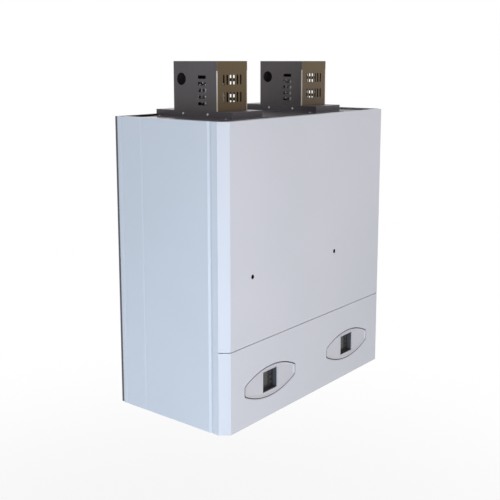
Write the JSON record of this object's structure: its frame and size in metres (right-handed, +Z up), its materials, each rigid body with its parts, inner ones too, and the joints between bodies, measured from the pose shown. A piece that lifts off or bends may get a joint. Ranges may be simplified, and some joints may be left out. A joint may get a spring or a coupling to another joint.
{
  "type": "wall-hung gas boiler",
  "caption": "Wall-hung gas boiler with side-by-side heating modules in one folded steel casing, oval control windows below and slotted fan guards on top.",
  "frame": {"origin": "on the wall plane, in the middle of the four wall holes", "axes": "+Z up, +Y into the wall, +X to the right seen from the front; the front looks along -Y"},
  "size_m": [0.82, 0.412, 1.0455],
  "materials": {
    "white_enamel": "satin powder coat",
    "frame_steel": "dark grey satin coat",
    "guard_plate": "warm grey coat",
    "zinc_steel": "zinc-coated sheet",
    "bright_steel": "bright steel",
    "cast_aluminium": "die cast",
    "copper": "brazed copper",
    "valve_brass": "pressed brass",
    "gas_paint": "yellow coat",
    "lever_paint": "yellow coat",
    "pump_paint": "grey coat",
    "light_plastic": "fine matt grain",
    "dark_plastic": "matt black",
    "key_plastic": "matt dark grey",
    "display_glass": "clear cover over a dark green panel",
    "sight_glass": "heat-resistant glass in a steel bezel"
  },
  "bodies": {
    "casing": {"back_frame": "frame_steel", "left_side_panel": "white_enamel", "right_side_panel": "white_enamel", "top_deck": "frame_steel", "bottom_tray": "zinc_steel", "centre_divider": "zinc_steel", "front_rail": "zinc_steel", "fan_screws": "bright_steel", "cable_gland": "dark_plastic", "gas_header": "gas_paint", "flow_header": "copper", "return_header": "copper", "left_fascia": "light_plastic", "left_control_unit": "dark_plastic", "left_display": "display_glass", "left_collar": "frame_steel", "left_fan_guard": "frame_steel", "left_guard_front": "guard_plate", "left_fan_motor": "cast_aluminium", "left_fan_scroll": "zinc_steel", "left_flue_outlet": "zinc_steel", "left_flue_hood": "zinc_steel", "left_heat_exchanger": "copper", "left_return_riser": "copper", "left_combustion_chamber": "zinc_steel", "left_sight_glass": "sight_glass", "left_burner": "bright_steel", "left_gas_valve": "cast_aluminium", "left_gas_cock": "valve_brass", "left_pump": "pump_paint", "right_fascia": "light_plastic", "right_control_unit": "dark_plastic", "right_display": "display_glass", "right_collar": "frame_steel", "right_fan_guard": "frame_steel", "right_guard_front": "guard_plate", "right_fan_motor": "cast_aluminium", "right_fan_scroll": "zinc_steel", "right_flue_outlet": "zinc_steel", "right_flue_hood": "zinc_steel", "right_heat_exchanger": "copper", "right_return_riser": "copper", "right_combustion_chamber": "zinc_steel", "right_sight_glass": "sight_glass", "right_burner": "bright_steel", "right_gas_valve": "cast_aluminium", "right_gas_cock": "valve_brass", "right_pump": "pump_paint"},
    "upper_panel": {"upper_front_panel": "white_enamel"},
    "lower_panel": {"lower_front_panel": "white_enamel"},
    "left_fan": {"left_fan_impeller": "bright_steel"},
    "left_key_top": {"left_key_top": "key_plastic"},
    "left_key_middle": {"left_key_middle": "key_plastic"},
    "left_key_bottom": {"left_key_bottom": "key_plastic"},
    "left_gas_lever": {"left_gas_cock_lever": "lever_paint"},
    "right_fan": {"right_fan_impeller": "bright_steel"},
    "right_key_top": {"right_key_top": "key_plastic"},
    "right_key_middle": {"right_key_middle": "key_plastic"},
    "right_key_bottom": {"right_key_bottom": "key_plastic"},
    "right_gas_lever": {"right_gas_cock_lever": "lever_paint"}
  },
  "joints": [
    {"name": "upper_panel_swing", "type": "hinge", "parent": "casing", "child": "upper_panel", "pos_m": [0, -0.386, 0.43], "axis": [-1, 0, 0], "range_deg": [0, 30]},
    {"name": "lower_panel_pull", "type": "slide", "parent": "casing", "child": "lower_panel", "axis": [0, -1, 0], "range_m": [0, 0.06]},
    {"name": "left_fan_spin", "type": "hinge", "parent": "casing", "child": "left_fan", "pos_m": [-0.195, -0.1774, 0.37], "axis": [0, 0, 1], "continuous": true},
    {"name": "left_key_top_press", "type": "slide", "parent": "casing", "child": "left_key_top", "axis": [0, 1, 0], "range_m": [0, 0.0012], "stiffness_N_per_m": 400, "springref_m": -0.0008},
    {"name": "left_key_middle_press", "type": "slide", "parent": "casing", "child": "left_key_middle", "axis": [0, 1, 0], "range_m": [0, 0.0012], "stiffness_N_per_m": 400, "springref_m": -0.0008},
    {"name": "left_key_bottom_press", "type": "slide", "parent": "casing", "child": "left_key_bottom", "axis": [0, 1, 0], "range_m": [0, 0.0012], "stiffness_N_per_m": 400, "springref_m": -0.0008},
    {"name": "left_gas_lever_turn", "type": "hinge", "parent": "casing", "child": "left_gas_lever", "pos_m": [-0.145, -0.276, -0.346], "axis": [0, -1, 0], "range_deg": [0, 90]},
    {"name": "right_fan_spin", "type": "hinge", "parent": "casing", "child": "right_fan", "pos_m": [0.215, -0.1774, 0.37], "axis": [0, 0, 1], "continuous": true},
    {"name": "right_key_top_press", "type": "slide", "parent": "casing", "child": "right_key_top", "axis": [0, 1, 0], "range_m": [0, 0.0012], "stiffness_N_per_m": 400, "springref_m": -0.0008},
    {"name": "right_key_middle_press", "type": "slide", "parent": "casing", "child": "right_key_middle", "axis": [0, 1, 0], "range_m": [0, 0.0012], "stiffness_N_per_m": 400, "springref_m": -0.0008},
    {"name": "right_key_bottom_press", "type": "slide", "parent": "casing", "child": "right_key_bottom", "axis": [0, 1, 0], "range_m": [0, 0.0012], "stiffness_N_per_m": 400, "springref_m": -0.0008},
    {"name": "right_gas_lever_turn", "type": "hinge", "parent": "casing", "child": "right_gas_lever", "pos_m": [0.265, -0.276, -0.346], "axis": [0, -1, 0], "range_deg": [0, 90]}
  ]
}
